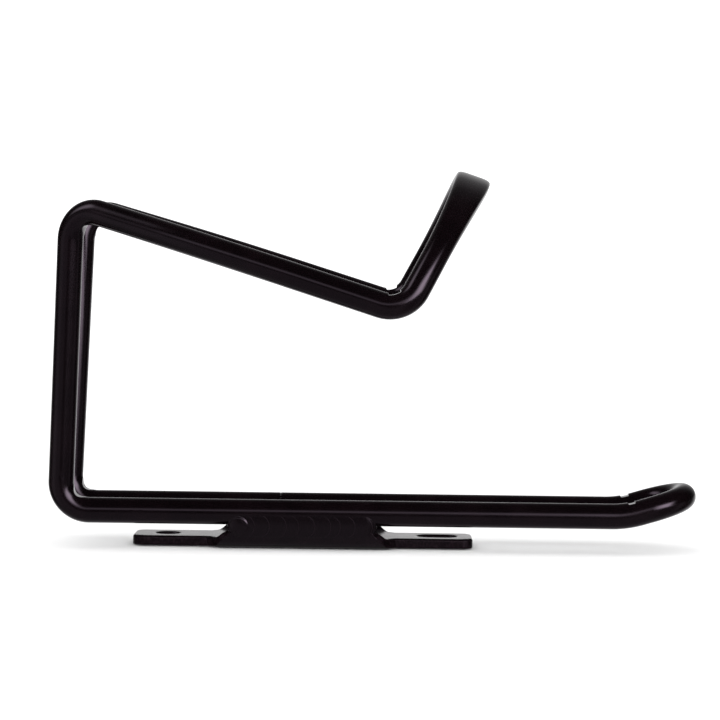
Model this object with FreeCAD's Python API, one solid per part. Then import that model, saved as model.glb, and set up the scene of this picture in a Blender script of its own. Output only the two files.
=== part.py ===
import FreeCAD, Part
import math
import os
from FreeCAD import Vector

# Water bottle cage: one aluminium rod bent to a closed loop, on a pressed bracket that is welded to it.
# Frame: the origin is midway between the two mounting positions, on the bracket's back face.
# +X runs along the rails towards the bottle's mouth, and +Z points away from the bicycle.
# Lengths are in millimetres and angles in degrees. The cage is symmetric about the XZ plane.

# Rod and rails
ROD_DIAMETER = 6.0
RAIL_OFFSET = 8.8
RAIL_HEIGHT = 8.4
BEND_RADIUS = 6.6
JOINT_X = -5.6
JOINT_GAP = 0.2

# Heel, where the rails turn up into the stop arms below the bottle's base
HEEL_X = -56.7

# Front corners, at the upper ends of the stop arms
CORNER_X = -54.1
CORNER_OFFSET = 12.2
CORNER_HEIGHT = 79.8

# Side arms, which bow outwards around the bottle
BOW_X = -18.0
BOW_OFFSET = 31.2
BOW_HEIGHT = 69.2
BOW_RADIUS = 110.0

# Grip arch, which rises from the low ends of the side arms over the bottle
ARCH_BASE_X = 23.1
ARCH_BASE_HEIGHT = 56.3
ARCH_TILT = 62.0
ARCH_RADIUS = 37.4
ARCH_CENTRE_DROP = 3.1
ARCH_START_ANGLE = 14.0

# Flattened band at the top of the arch
BAND_WIDTH = 8.4
BAND_THICKNESS = 3.6
BAND_TWIST = 9.4
BAND_FLAT_ANGLE = 14.0
FLATTEN_START = 32.0
FLATTEN_END = 68.0
BAND_SECTIONS = 20

# Hook at the mouth end, which catches the groove of the bottle's neck
HOOK_X = 76.0
HOOK_SLOPE = 16.5
HOOK_BEND_RADIUS = 24.0  # centreline radius of the gentle bend under the hook
HOOK_TIP_X = 93.3

# Bracket tabs, with a round hole at one end and a slot at the other
PLATE_THICKNESS = 2.3
BRACKET_START_X = -40.0
BRACKET_END_X = 40.3
TAB_WIDTH = 13.0
TAB_CORNER_RADIUS = 2.6
HOLE_SPACING = 64.0
HOLE_DIAMETER = 5.5
SLOT_LENGTH = 9.2

# Bracket saddle, whose two wings are pressed up to the rails
SADDLE_BASE_WIDTH = 15.2
SADDLE_START_X = -22.3
SADDLE_END_X = 22.2
SADDLE_TOP_START_X = -15.5
SADDLE_TOP_END_X = 15.5
WING_ANGLE = 62.0
WING_BEND_RADIUS = 3.2
WING_REACH = 3.7

# Weld beads, along the outer side of each rail
BEAD_START_X = -17.4
BEAD_END_X = 17.6
BEAD_OFFSET = 10.2
BEAD_HEIGHT = 5.7
BEAD_RADIUS = 2.7

ROD_RADIUS = ROD_DIAMETER / 2.0
RIGHT = -1
LEFT = 1


def radial(angle, length):
    """Step from the arch's centre in the arch's own tilted plane, from the right side over to the left."""
    rise = length * math.sin(math.radians(angle))
    tilt = math.radians(ARCH_TILT)
    return Vector(rise * math.cos(tilt), -length * math.cos(math.radians(angle)), rise * math.sin(tilt))


def arch_point(angle):
    """Centre of the rod on the arch."""
    base = Vector(ARCH_BASE_X, 0, ARCH_BASE_HEIGHT)
    return base - radial(90.0, ARCH_CENTRE_DROP) + radial(angle, ARCH_RADIUS)


def arch_low_point():
    """Sharp corner below the arch's right end, at the height of the arch's base."""
    start = arch_point(ARCH_START_ANGLE)
    backwards = radial(ARCH_START_ANGLE - 90.0, 1.0)
    drop = (start.z - ARCH_BASE_HEIGHT) / -backwards.z
    return start + backwards * drop


def on_side(point, side):
    """A point given for the right side, or its mirror image on the left."""
    return Vector(point.x, -side * point.y, point.z)


def bent_edges(points, radii):
    """Straight runs through the points, with a tangent arc of its own radius at each inner point."""
    edges = []
    start = points[0]
    for index, radius in enumerate(radii, start=1):
        corner = points[index]
        back = (points[index - 1] - corner).normalize()
        ahead = (points[index + 1] - corner).normalize()
        half = back.getAngle(ahead) / 2.0
        reach = radius / math.tan(half)
        inwards = (back + ahead).normalize() * (radius / math.sin(half) - radius)
        edges.append(Part.LineSegment(start, corner + back * reach).toShape())
        edges.append(Part.Arc(corner + back * reach, corner + inwards, corner + ahead * reach).toShape())
        start = corner + ahead * reach
    edges.append(Part.LineSegment(start, points[-1]).toShape())
    return edges


def round_rod(edges):
    """Solid round rod along a chain of edges."""
    first = edges[0]
    start = first.valueAt(first.FirstParameter)
    direction = first.tangentAt(first.FirstParameter)
    ring = Part.Wire(Part.makeCircle(ROD_RADIUS, start, direction))
    return Part.Wire(edges).makePipeShell([ring], True, False)


def side_points(side):
    """Corners of one side of the loop, from its heel up to the start of the arch."""
    return [
        Vector(HEEL_X, side * RAIL_OFFSET, RAIL_HEIGHT),
        Vector(CORNER_X, side * CORNER_OFFSET, CORNER_HEIGHT),
        Vector(BOW_X, side * BOW_OFFSET, BOW_HEIGHT),
        on_side(arch_low_point(), side),
        on_side(arch_point(ARCH_START_ANGLE), side),
    ]


def hook_points(side):
    """Corner of the hook on one side, and the end of its straight run at the round tip."""
    slope = math.radians(HOOK_SLOPE)
    run = (HOOK_TIP_X - ROD_RADIUS - HOOK_X) / math.cos(slope) - RAIL_OFFSET
    corner = Vector(HOOK_X, side * RAIL_OFFSET, RAIL_HEIGHT)
    return [corner, corner + Vector(run * math.cos(slope), 0, run * math.sin(slope))]


def hook_tip_edge():
    """Half circle round the tip of the hook, from left to right."""
    slope = math.radians(HOOK_SLOPE)
    left = hook_points(LEFT)[1]
    right = hook_points(RIGHT)[1]
    middle = (left + right) * 0.5 + Vector(math.cos(slope), 0, math.sin(slope)) * RAIL_OFFSET
    return Part.Arc(left, middle, right).toShape()


def arch_edge(angle_from, angle_to):
    """Part of the arch as one circular arc."""
    middle = (angle_from + angle_to) / 2.0
    return Part.Arc(arch_point(angle_from), arch_point(middle), arch_point(angle_to)).toShape()


def flattening(angle):
    """How far the rod is flattened at an angle of the arch: 0 is round and 1 is the full band."""
    from_side = min(angle, 180.0 - angle)
    share = (from_side - FLATTEN_START) / (FLATTEN_END - FLATTEN_START)
    share = min(max(share, 0.0), 1.0)
    return share * share * (3.0 - 2.0 * share)


def band_section(angle):
    """Outline of the rod across the arch: an oval of four tangent arcs, which is a circle where it is round."""
    flat = flattening(angle)
    half_wide = ROD_RADIUS + flat * (BAND_WIDTH / 2.0 - ROD_RADIUS)
    half_thick = ROD_RADIUS + flat * (BAND_THICKNESS / 2.0 - ROD_RADIUS)
    split = math.radians(45.0 + flat * (BAND_FLAT_ANGLE - 45.0))
    excess = (half_wide - half_thick) / (math.cos(split) + math.sin(split) - 1.0)
    broad_radius = half_thick + excess * math.cos(split)
    join_wide = broad_radius * math.sin(split)
    join_thick = half_thick - broad_radius * (1.0 - math.cos(split))

    tilt = math.radians(ARCH_TILT)
    twist = math.radians(BAND_TWIST)
    outward = radial(angle, 1.0)
    sideways = Vector(math.sin(tilt), 0, -math.cos(tilt))
    wide = sideways * math.cos(twist) + outward * math.sin(twist)
    thick = outward * math.cos(twist) - sideways * math.sin(twist)
    centre = arch_point(angle)

    outline = [
        (-join_wide, join_thick),
        (0, half_thick),
        (join_wide, join_thick),
        (half_wide, 0),
        (join_wide, -join_thick),
        (0, -half_thick),
        (-join_wide, -join_thick),
        (-half_wide, 0),
        (-join_wide, join_thick),
    ]
    points = [centre + wide * a + thick * b for a, b in outline]
    arcs = [Part.Arc(points[i], points[i + 1], points[i + 2]).toShape() for i in (0, 2, 4, 6)]
    return Part.Wire(arcs)


def flattened_band():
    """Top of the arch, from round through the flattened band to round again."""
    span = 180.0 - 2.0 * FLATTEN_START
    angles = [FLATTEN_START + span * step / BAND_SECTIONS for step in range(BAND_SECTIONS + 1)]
    return Part.makeLoft([band_section(angle) for angle in angles], True, False)


def rod_loop():
    """The whole bent rod, whose two ends meet on the left rail above the bracket."""
    gap = Vector(JOINT_GAP / 2.0, 0, 0)
    joint = Vector(JOINT_X, LEFT * RAIL_OFFSET, RAIL_HEIGHT)
    hook_left = hook_points(LEFT)
    hook_right = hook_points(RIGHT)
    right_side = side_points(RIGHT)
    left_side = side_points(LEFT)

    first = bent_edges([joint + gap] + hook_left, [HOOK_BEND_RADIUS])
    first.append(hook_tip_edge())
    first += bent_edges(
        [hook_right[1], hook_right[0]] + right_side,
        [HOOK_BEND_RADIUS, BEND_RADIUS, BEND_RADIUS, BOW_RADIUS, BEND_RADIUS],
    )
    first.append(arch_edge(ARCH_START_ANGLE, FLATTEN_START))

    last = [arch_edge(180.0 - FLATTEN_START, 180.0 - ARCH_START_ANGLE)]
    last += bent_edges(
        left_side[::-1] + [joint - gap],
        [BEND_RADIUS, BOW_RADIUS, BEND_RADIUS, BEND_RADIUS],
    )
    return round_rod(first).fuse([flattened_band(), round_rod(last)])


def rail_cylinder(side):
    """Straight rail above the bracket, longer than the bracket, for cutting the seats of the wings and beads."""
    start = Vector(BRACKET_START_X, side * RAIL_OFFSET, RAIL_HEIGHT)
    return Part.makeCylinder(ROD_RADIUS, BRACKET_END_X - BRACKET_START_X, start, Vector(1, 0, 0))


def tab_plate():
    """Flat plate under the whole bracket, with rounded corners."""
    plate = Part.makeBox(
        BRACKET_END_X - BRACKET_START_X,
        TAB_WIDTH,
        PLATE_THICKNESS,
        Vector(BRACKET_START_X, -TAB_WIDTH / 2.0, 0),
    )
    upright = [edge for edge in plate.Edges if abs(edge.tangentAt(edge.FirstParameter).z) > 0.99]
    return plate.makeFillet(TAB_CORNER_RADIUS, upright)


def saddle_profile():
    """Cross-section of the saddle: a flat base whose two sides bend up into the wings."""
    half = SADDLE_BASE_WIDTH / 2.0
    angle = math.radians(WING_ANGLE)

    def wing(radius, turn, reach):
        y = half + radius * math.sin(turn) + reach * math.cos(angle)
        z = WING_BEND_RADIUS - radius * math.cos(turn) + reach * math.sin(angle)
        return y, z

    inner = WING_BEND_RADIUS - PLATE_THICKNESS
    outer_line = [wing(WING_BEND_RADIUS, turn, 0.0) for turn in (0.0, angle / 2.0, angle)]
    outer_line.append(wing(WING_BEND_RADIUS, angle, WING_REACH))
    inner_line = [wing(inner, turn, 0.0) for turn in (0.0, angle / 2.0, angle)]
    inner_line.append(wing(inner, angle, WING_REACH))

    edges = []
    for side in (RIGHT, LEFT):
        outer = [Vector(0, side * y, z) for y, z in outer_line]
        inner_points = [Vector(0, side * y, z) for y, z in inner_line]
        edges.append(Part.Arc(*outer[:3]).toShape())
        edges.append(Part.LineSegment(outer[2], outer[3]).toShape())
        edges.append(Part.LineSegment(outer[3], inner_points[3]).toShape())
        edges.append(Part.LineSegment(inner_points[3], inner_points[2]).toShape())
        edges.append(Part.Arc(*inner_points[:3]).toShape())
    for height in (0.0, PLATE_THICKNESS):
        edges.append(Part.LineSegment(Vector(0, -half, height), Vector(0, half, height)).toShape())
    return Part.Face(Part.Wire(Part.__sortEdges__(edges)))


def end_trim(side, base_x, top_x):
    """Block that shears one end of one wing on a slant, from the tab's edge to the wing's top."""
    angle = math.radians(WING_ANGLE)
    outwards = 1 if base_x > top_x else -1
    size = 60.0
    base = Vector(base_x, side * TAB_WIDTH / 2.0, 0)
    top_y = (
        SADDLE_BASE_WIDTH / 2.0
        + WING_BEND_RADIUS * math.sin(angle)
        + WING_REACH * math.cos(angle)
    )
    top_z = WING_BEND_RADIUS * (1.0 - math.cos(angle)) + WING_REACH * math.sin(angle)
    along = (Vector(top_x, side * top_y, top_z) - base).normalize()
    through = Vector(0, -side * math.sin(angle / 2.0), math.cos(angle / 2.0))
    away = along.cross(through).normalize()
    if away.x * outwards < 0:
        away = away * -1.0
    across = away.cross(along)
    block = Part.makeBox(size, size, size, Vector(-size / 2.0, -size / 2.0, 0))
    turn = FreeCAD.Rotation(along, across * -1.0, away, "ZXY")
    block.Placement = FreeCAD.Placement(base, turn).multiply(block.Placement)
    return block


def saddle():
    """Middle of the bracket, with slanted sheared ends on both wings."""
    body = saddle_profile().extrude(Vector(SADDLE_END_X - SADDLE_START_X, 0, 0))
    body.translate(Vector(SADDLE_START_X, 0, 0))
    for side in (RIGHT, LEFT):
        body = body.cut(end_trim(side, SADDLE_START_X, SADDLE_TOP_START_X))
        body = body.cut(end_trim(side, SADDLE_END_X, SADDLE_TOP_END_X))
    return body


def bolt_cutters():
    """Round hole at the heel end and slot at the mouth end, both centred on their mounting positions."""
    radius = HOLE_DIAMETER / 2.0
    up = Vector(0, 0, 1)
    height = PLATE_THICKNESS + 2.0
    hole = Part.makeCylinder(radius, height, Vector(-HOLE_SPACING / 2.0, 0, -1.0), up)
    straight = SLOT_LENGTH - HOLE_DIAMETER
    middle = HOLE_SPACING / 2.0
    slot_ends = [
        Part.makeCylinder(radius, height, Vector(middle + shift, 0, -1.0), up)
        for shift in (-straight / 2.0, straight / 2.0)
    ]
    slot_middle = Part.makeBox(
        straight, HOLE_DIAMETER, height, Vector(middle - straight / 2.0, -radius, -1.0)
    )
    return [hole, slot_middle.fuse(slot_ends).removeSplitter()]


def mounting_bracket():
    """Pressed plate that bolts to the bicycle and carries both rails."""
    plate = tab_plate().fuse(saddle()).removeSplitter()
    plate = plate.cut(bolt_cutters())
    return plate.cut([rail_cylinder(RIGHT), rail_cylinder(LEFT)])


def weld_bead(side, bracket):
    """Round-ended bead between a rail's outer side and the top of its wing."""
    first = Vector(BEAD_START_X + BEAD_RADIUS, side * BEAD_OFFSET, BEAD_HEIGHT)
    last = Vector(BEAD_END_X - BEAD_RADIUS, side * BEAD_OFFSET, BEAD_HEIGHT)
    bar = Part.makeCylinder(BEAD_RADIUS, last.x - first.x, first, Vector(1, 0, 0))
    bead = bar.fuse([Part.makeSphere(BEAD_RADIUS, first), Part.makeSphere(BEAD_RADIUS, last)])
    bead = bead.cut([rail_cylinder(side), bracket])
    return max(bead.Solids, key=lambda solid: solid.Volume)


def write_step(shape, name):
    """Writes one sub-part and prints its size."""
    shape.exportStep("parts/" + name + ".step")
    box = shape.BoundBox
    print(
        name, "valid", shape.isValid(), "solids", len(shape.Solids), "volume", round(shape.Volume, 1),
        "x", round(box.XMin, 2), round(box.XMax, 2),
        "y", round(box.YMin, 2), round(box.YMax, 2),
        "z", round(box.ZMin, 2), round(box.ZMax, 2),
    )


os.makedirs("parts", exist_ok=True)
bracket = mounting_bracket()
write_step(rod_loop(), "rod_loop")
write_step(bracket, "mounting_bracket")
write_step(weld_bead(RIGHT, bracket), "weld_bead_right")
write_step(weld_bead(LEFT, bracket), "weld_bead_left")
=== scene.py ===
"""Water bottle cage: the visual model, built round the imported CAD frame.

The cage is one bent rod, one pressed bracket and two weld beads. Lengths in the classes are in
millimetres and every mesh is made in metres, in the frame's own axes: X runs from the heel to the
hook, Z points up from the bracket's flat face and Y is the side, with the right side at negative Y.
"""
import logging
import math
from dataclasses import dataclass, field
from enum import Enum
from typing import Sequence

import bmesh
import bpy
import numpy as np
from mathutils import Matrix, Vector
from mathutils.geometry import delaunay_2d_cdt


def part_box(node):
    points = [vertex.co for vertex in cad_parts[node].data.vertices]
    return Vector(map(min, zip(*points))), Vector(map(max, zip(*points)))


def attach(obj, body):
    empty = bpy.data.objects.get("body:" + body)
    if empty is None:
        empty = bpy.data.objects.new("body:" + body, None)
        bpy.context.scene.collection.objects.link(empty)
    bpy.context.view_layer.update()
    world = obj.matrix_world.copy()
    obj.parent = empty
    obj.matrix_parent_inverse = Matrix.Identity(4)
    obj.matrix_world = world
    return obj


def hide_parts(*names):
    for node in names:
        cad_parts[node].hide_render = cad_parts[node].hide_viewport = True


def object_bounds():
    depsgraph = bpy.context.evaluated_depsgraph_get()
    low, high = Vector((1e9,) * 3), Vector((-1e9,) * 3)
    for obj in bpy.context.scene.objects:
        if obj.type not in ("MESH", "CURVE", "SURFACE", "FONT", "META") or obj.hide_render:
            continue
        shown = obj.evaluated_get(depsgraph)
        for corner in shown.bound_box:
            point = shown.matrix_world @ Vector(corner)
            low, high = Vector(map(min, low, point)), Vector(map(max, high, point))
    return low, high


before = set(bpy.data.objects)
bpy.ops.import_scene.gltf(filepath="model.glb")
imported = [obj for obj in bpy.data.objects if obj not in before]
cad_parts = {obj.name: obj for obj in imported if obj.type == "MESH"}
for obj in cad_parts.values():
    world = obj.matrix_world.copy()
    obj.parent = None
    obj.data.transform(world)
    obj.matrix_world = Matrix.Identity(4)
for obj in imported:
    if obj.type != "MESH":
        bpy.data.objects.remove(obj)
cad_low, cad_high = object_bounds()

MM = 0.001
BODY = "root"
EVERYWHERE = (-3.0, -2.0, 2.0, 3.0)
ALMOST_WHOLE = 0.9999
log = logging.getLogger("bottle_cage")


class Side(Enum):
    """The two sides of the cage, as signs of Y."""

    RIGHT = -1
    LEFT = 1


def smooth(value: np.ndarray | float, low: float, high: float) -> np.ndarray | float:
    """Rises smoothly from 0 at low to 1 at high.

    Args:
        value: The number or array to look up.
        low: Where the rise starts.
        high: Where the rise ends.

    Returns:
        The share of the rise, from 0 to 1.
    """
    share = np.clip((value - low) / (high - low), 0.0, 1.0)
    return share * share * (3.0 - 2.0 * share)


# ---------------------------------------------------------------------------------- shader tools


class Wire:
    """One output socket of a node tree, with arithmetic written as plain expressions."""

    def __init__(self, bench: "Bench", socket: bpy.types.NodeSocket) -> None:
        """Keeps the socket and the bench that it belongs to."""
        self.bench = bench
        self.socket = socket

    def __add__(self, other: "Wire | float") -> "Wire":
        """Adds a wire or a number."""
        return self.bench.maths("ADD", self, other)

    def __sub__(self, other: "Wire | float") -> "Wire":
        """Takes a wire or a number away."""
        return self.bench.maths("SUBTRACT", self, other)

    def __rsub__(self, other: float) -> "Wire":
        """Takes this wire away from a number."""
        return self.bench.maths("SUBTRACT", other, self)

    def __mul__(self, other: "Wire | float") -> "Wire":
        """Multiplies by a wire or a number."""
        return self.bench.maths("MULTIPLY", self, other)

    __radd__ = __add__
    __rmul__ = __mul__

    def rise(self, low: float, high: float) -> "Wire":
        """Rises smoothly from 0 to 1.

        Args:
            low: The value at which the rise starts.
            high: The value at which the rise ends.

        Returns:
            The share of the rise.
        """
        settings = {"interpolation_type": "SMOOTHSTEP"}
        inputs = {"Value": self, "From Min": low, "From Max": high}
        return self.bench.node("ShaderNodeMapRange", settings, inputs, "Result")

    def between(self, edges: tuple[float, float, float, float]) -> "Wire":
        """Rises smoothly over the first two edges and falls over the last two."""
        return self.rise(*edges[:2]) * (1.0 - self.rise(*edges[2:]))

    def stops(self, levels: Sequence[tuple[float, float]]) -> "Wire":
        """Looks the value up on a line through a few levels.

        Args:
            levels: Pairs of a value from 0 to 1 and the level there.

        Returns:
            The level, as a grey.
        """
        greys = [(place, (level, level, level, 1.0)) for place, level in levels]
        return self.bench.node("ShaderNodeValToRGB", {"stops": greys}, {"Fac": self}, "Color")


class Bench:
    """Adds nodes to one material's or world's tree."""

    def __init__(self, owner: bpy.types.Material | bpy.types.World) -> None:
        """Empties the owner's tree.

        Args:
            owner: The material or the world.
        """
        owner.use_nodes = True
        self.tree = owner.node_tree
        self.tree.nodes.clear()

    def node(
        self,
        kind: str,
        settings: dict | None = None,
        inputs: dict | None = None,
        output: str | int = 0,
    ) -> Wire:
        """Makes any node but a maths one.

        Args:
            kind: The node's type.
            settings: Its own properties, set before the sockets; "stops" fills a colour ramp.
            inputs: Values or wires of its sockets, by name or number.
            output: The output to return, by name or number.

        Returns:
            The chosen output.
        """
        made = self.tree.nodes.new(kind)
        for name, value in (settings or {}).items():
            if name == "stops":
                self._fill_ramp(made.color_ramp, value)
            else:
                setattr(made, name, value)
        for name, value in (inputs or {}).items():
            self._plug(made.inputs[name], value)
        return Wire(self, made.outputs[output] if len(made.outputs) else None)

    def _fill_ramp(self, ramp: bpy.types.ColorRamp, stops: Sequence[tuple]) -> None:
        """Gives a colour ramp its stops.

        Args:
            ramp: The ramp of a new node, with its two first stops.
            stops: Pairs of place and colour, from low to high.
        """
        while len(ramp.elements) < len(stops):
            ramp.elements.new(0.5)
        for element, (place, colour) in zip(ramp.elements, stops):
            element.position = place
            element.color = colour

    def _plug(self, socket: bpy.types.NodeSocket, value: object) -> None:
        """Links a wire to an input, or sets the input's own value.

        Args:
            socket: The input.
            value: The wire or the value.
        """
        if isinstance(value, Wire):
            self.tree.links.new(value.socket, socket)
        else:
            socket.default_value = value

    def maths(self, operation: str, first: Wire | float, second: Wire | float) -> Wire:
        """Adds one Math node on two values."""
        return self.node("ShaderNodeMath", {"operation": operation}, {0: first, 1: second})

    def place(self) -> Wire:
        """Gives the place on the object, in metres."""
        return self.node("ShaderNodeTexCoord", None, None, "Object")

    def noise(self, place: Wire, scale: float, detail: float, roughness: float = 0.5) -> Wire:
        """Makes even noise from 0 to 1.

        Args:
            place: The coordinates.
            scale: Waves per unit of the coordinates.
            detail: How many finer layers are added.
            roughness: How strong the finer layers are.

        Returns:
            The noise's value.
        """
        inputs = {"Vector": place, "Scale": scale, "Detail": detail, "Roughness": roughness}
        return self.node("ShaderNodeTexNoise", None, inputs, "Fac")

    def stretched(self, place: Wire, scale: tuple[float, float, float]) -> Wire:
        """Stretches coordinates.

        Args:
            place: The coordinates.
            scale: The factor along each axis.

        Returns:
            The stretched coordinates.
        """
        settings = {"operation": "MULTIPLY"}
        return self.node("ShaderNodeVectorMath", settings, {0: place, 1: scale}, "Vector")

    def blend(self, share: Wire, first: tuple, second: tuple) -> Wire:
        """Mixes two colours.

        Args:
            share: 0 gives the first colour and 1 the second.
            first: Red, green and blue.
            second: Red, green and blue.

        Returns:
            The mixed colour.
        """
        settings = {"data_type": "RGBA", "clamp_factor": True}
        inputs = {0: share, 6: (*first, 1.0), 7: (*second, 1.0)}
        return self.node("ShaderNodeMix", settings, inputs, 2)

    def bump(self, height: Wire, depth: float, under: Wire | None = None) -> Wire:
        """Turns a height into a bumped normal.

        Args:
            height: The height, from 0 to 1.
            depth: The real height of 1, in metres.
            under: A bump that this one is added to.

        Returns:
            The normal.
        """
        inputs = {"Height": height, "Distance": depth, "Strength": 1.0}
        if under is not None:
            inputs["Normal"] = under
        return self.node("ShaderNodeBump", None, inputs, "Normal")


def new_material(name: str) -> tuple[bpy.types.Material, Bench]:
    """Makes an empty material and the bench for its nodes."""
    material = bpy.data.materials.new(name)
    return material, Bench(material)


# -------------------------------------------------------------------------------------- finishes


@dataclass(frozen=True)
class Paint:
    """Near-black gloss paint; each finish of the cage says how its colour and gloss vary."""

    deep: tuple[float, float, float] = (0.0022, 0.0010, 0.0015)
    thin: tuple[float, float, float] = (0.0048, 0.0022, 0.0032)
    sheen: tuple[float, float, float, float] = (1.0, 0.82, 1.0, 1.0)
    refraction: float = 1.5
    level: float = 0.5
    gloss_low: float = 0.15
    gloss_high: float = 0.24

    def coat(self, bench: Bench, share: Wire, wear: Wire, normal: Wire) -> None:
        """Adds the paint's shader and the material's output.

        Args:
            bench: The material's bench.
            share: Where the paint is thin, from 0 to 1.
            wear: Where the paint is dull, from 0 to 1.
            normal: The surface with its bumps.
        """
        inputs = {
            "Base Color": bench.blend(share, self.deep, self.thin),
            "Roughness": self.gloss_low + (self.gloss_high - self.gloss_low) * wear,
            "IOR": self.refraction,
            "Specular IOR Level": self.level,
            "Specular Tint": self.sheen,
            "Normal": normal,
        }
        paint = bench.node("ShaderNodeBsdfPrincipled", None, inputs)
        bench.node("ShaderNodeOutputMaterial", None, {"Surface": paint})


@dataclass(frozen=True)
class RodPaint(Paint):
    """Smooth paint on drawn rod, with faint lines along the rod and small dimples."""

    deep: tuple[float, float, float] = (0.0016, 0.0006, 0.0009)
    thin: tuple[float, float, float] = (0.0034, 0.0014, 0.0020)
    sheen: tuple[float, float, float, float] = (1.0, 0.80, 1.0, 1.0)
    gloss_high: float = 0.20
    line_depth: float = 0.0000030
    peel_depth: float = 0.0000022
    dimple_depth: float = 0.000030

    def material(self) -> bpy.types.Material:
        """Builds the rod's material.

        Returns:
            The new material.
        """
        made, bench = new_material("rod_gloss_paint")
        along = bench.node("ShaderNodeAttribute", {"attribute_name": "rod_run"}, None, "Vector")
        place = bench.place()
        lines = bench.noise(bench.stretched(along, (9.0, 9.0, 0.05)), 1.0, 2.0)
        cloud = bench.noise(place, 120.0, 3.0)
        peel = bench.noise(place, 900.0, 1.0)
        dots = {"Vector": place, "Scale": 260.0, "Randomness": 1.0}
        cells = bench.node("ShaderNodeTexVoronoi", {"feature": "F1"}, dots, "Distance")
        dimple = (1.0 - cells.rise(0.03, 0.11)) * cloud.rise(0.45, 0.6)
        normal = bench.bump(lines, self.line_depth)
        normal = bench.bump(peel, self.peel_depth, normal)
        normal = bench.bump(1.0 - dimple, self.dimple_depth, normal)
        self.coat(bench, cloud.rise(0.35, 0.75), cloud, normal)
        return made


@dataclass(frozen=True)
class PlatePaint(Paint):
    """The same gloss on the rolled faces of the pressed plate."""

    roll_depth: float = 0.0000030
    peel_depth: float = 0.0000050

    def material(self) -> bpy.types.Material:
        """Builds the plate's material.

        Returns:
            The new material.
        """
        made, bench = new_material("bracket_gloss_paint")
        place = bench.place()
        cloud = bench.noise(place, 160.0, 3.0)
        rolled = bench.noise(bench.stretched(place, (60.0, 900.0, 900.0)), 1.0, 2.0)
        peel = bench.noise(place, 700.0, 1.0)
        normal = bench.bump(peel, self.peel_depth, bench.bump(rolled, self.roll_depth))
        self.coat(bench, cloud.rise(0.35, 0.75), cloud, normal)
        return made


@dataclass(frozen=True)
class ShearedEdgePaint(Paint):
    """Thin dull paint on the bracket's sheared edges, over the grain that the press tool tore."""

    deep: tuple[float, float, float] = (0.0016, 0.0006, 0.0009)
    thin: tuple[float, float, float] = (0.0125, 0.0062, 0.0088)
    sheen: tuple[float, float, float, float] = (1.0, 0.76, 0.95, 1.0)
    level: float = 0.17
    gloss_low: float = 0.26
    gloss_high: float = 0.46
    grain_depth: float = 0.00010

    def material(self) -> bpy.types.Material:
        """Builds the sheared edge's material.

        Returns:
            The new material.
        """
        made, bench = new_material("sheared_edge_paint")
        upright = bench.stretched(bench.place(), (1.0, 1.0, 0.4))
        grain = bench.noise(upright, 2600.0, 3.0, 0.65)
        self.coat(bench, grain.rise(0.42, 0.68), grain, bench.bump(grain, self.grain_depth))
        return made


@dataclass(frozen=True)
class WeldPaint(Paint):
    """Paint that has flowed over the weld, smooth on the ripples and duller in the valleys."""

    deep: tuple[float, float, float] = (0.0026, 0.0012, 0.0018)
    thin: tuple[float, float, float] = (0.0060, 0.0028, 0.0038)
    gloss_low: float = 0.20
    gloss_high: float = 0.30
    flow_depth: float = 0.00002

    def material(self) -> bpy.types.Material:
        """Builds the bead's material.

        Returns:
            The new material.
        """
        made, bench = new_material("weld_gloss_paint")
        place = bench.place()
        valley = bench.node("ShaderNodeAttribute", {"attribute_name": "valley"}, None, "Fac")
        cloud = bench.noise(place, 420.0, 3.0)
        flow = bench.noise(place, 700.0, 2.0)
        self.coat(bench, valley * cloud, valley, bench.bump(flow, self.flow_depth))
        return made


@dataclass(frozen=True)
class FloorPaper:
    """Plain white paper with a very fine tooth."""

    white: tuple[float, float, float] = (0.93, 0.93, 0.93)
    pale: tuple[float, float, float] = (0.90, 0.90, 0.90)
    roughness: float = 0.9

    def material(self) -> bpy.types.Material:
        """Builds the paper's material.

        Returns:
            The new material.
        """
        made, bench = new_material("floor_paper")
        tooth = bench.noise(bench.place(), 400.0, 2.0)
        inputs = {
            "Base Color": bench.blend(tooth, self.white, self.pale),
            "Roughness": self.roughness,
            "Specular IOR Level": 0.0,
        }
        paper = bench.node("ShaderNodeBsdfPrincipled", None, inputs)
        bench.node("ShaderNodeOutputMaterial", None, {"Surface": paper})
        return made


# ------------------------------------------------------------------------------------ mesh tools


def make_piece(
    name: str,
    points: np.ndarray,
    faces: Sequence[Sequence[int]],
    material: bpy.types.Material,
) -> bpy.types.Object:
    """Makes one smooth piece and puts it on the cage's body.

    Args:
        name: The piece's name.
        points: Its points in millimetres, one row each.
        faces: Point numbers of each face, seen anticlockwise from outside.
        material: Its finish.

    Returns:
        The new object.
    """
    mesh = bpy.data.meshes.new(name)
    mesh.from_pydata((points * MM).tolist(), [], [list(face) for face in faces])
    mesh.validate()
    shape = bmesh.new()
    shape.from_mesh(mesh)
    bmesh.ops.recalc_face_normals(shape, faces=shape.faces)
    for face in shape.faces:
        face.smooth = True
    shape.to_mesh(mesh)
    shape.free()
    mesh.materials.append(material)
    piece = bpy.data.objects.new(name, mesh)
    bpy.context.scene.collection.objects.link(piece)
    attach(piece, BODY)
    return piece


def set_shares(piece: bpy.types.Object, name: str, shares: np.ndarray) -> None:
    """Stores one number per point of a piece, for its finish to read.

    Args:
        piece: The piece.
        name: The attribute's name.
        shares: One number per point.
    """
    layer = piece.data.attributes.new(name, "FLOAT", "POINT")
    layer.data.foreach_set("value", shares.astype(np.float32))


def ring_pairs(first: int, count: int) -> list[tuple[int, int]]:
    """Pairs each point number of a closed ring with the next one round."""
    return [(first + step, first + (step + 1) % count) for step in range(count)]


def ring_faces(rings: int, around: int) -> list[tuple[int, int, int, int]]:
    """Lists the faces between closed rings of points that follow each other.

    Args:
        rings: How many rings there are.
        around: How many points each ring has.

    Returns:
        The four-sided faces.
    """
    faces = []
    for ring in range(rings - 1):
        for here, aside in ring_pairs(ring * around, around):
            faces.append((here, aside, aside + around, here + around))
    return faces


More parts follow.
